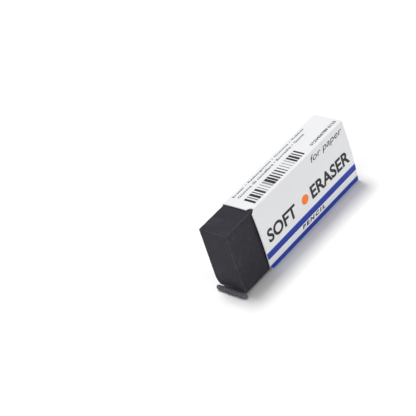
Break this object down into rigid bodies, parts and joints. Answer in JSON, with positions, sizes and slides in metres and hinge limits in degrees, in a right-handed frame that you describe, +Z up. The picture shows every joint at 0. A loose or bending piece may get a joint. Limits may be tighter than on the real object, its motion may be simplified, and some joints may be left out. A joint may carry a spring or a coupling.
{
  "type": "block eraser",
  "caption": "Rectangular black eraser block worn at one lower edge, in a folded white card sleeve that slides along it, with a roll of rubbings at the worn end.",
  "frame": {"origin": "middle of the block's length and thickness, on the lower outer face of the card sleeve, which the eraser stands on", "axes": "+X along the block from its worn end to its tail, +Z up from the narrow side with the sleeve's seam to the opposite narrow side, -Y out of the front wide face"},
  "size_m": [0.0623, 0.0133, 0.0243],
  "materials": {
    "eraser_plastic": "soft black eraser plastic with a fine dry grain",
    "sleeve_card": "coated white card, printed and folded",
    "glue": "dried paper glue",
    "rubbings": "felted grey spent eraser"
  },
  "bodies": {
    "block": {"eraser_block": "eraser_plastic"},
    "sleeve": {"card_sleeve": "sleeve_card", "seam_glue": "glue"},
    "rubbings": {"rubbings_roll": "rubbings"}
  },
  "joints": [
    {"name": "sleeve_slide", "type": "slide", "parent": "block", "child": "sleeve", "axis": [1, 0, 0], "range_m": [-0.011, 0.05]},
    {"name": "rubbings_pull", "type": "slide", "parent": "block", "child": "rubbings", "axis": [-1, 0, 0], "range_m": [0, 0.015]}
  ]
}
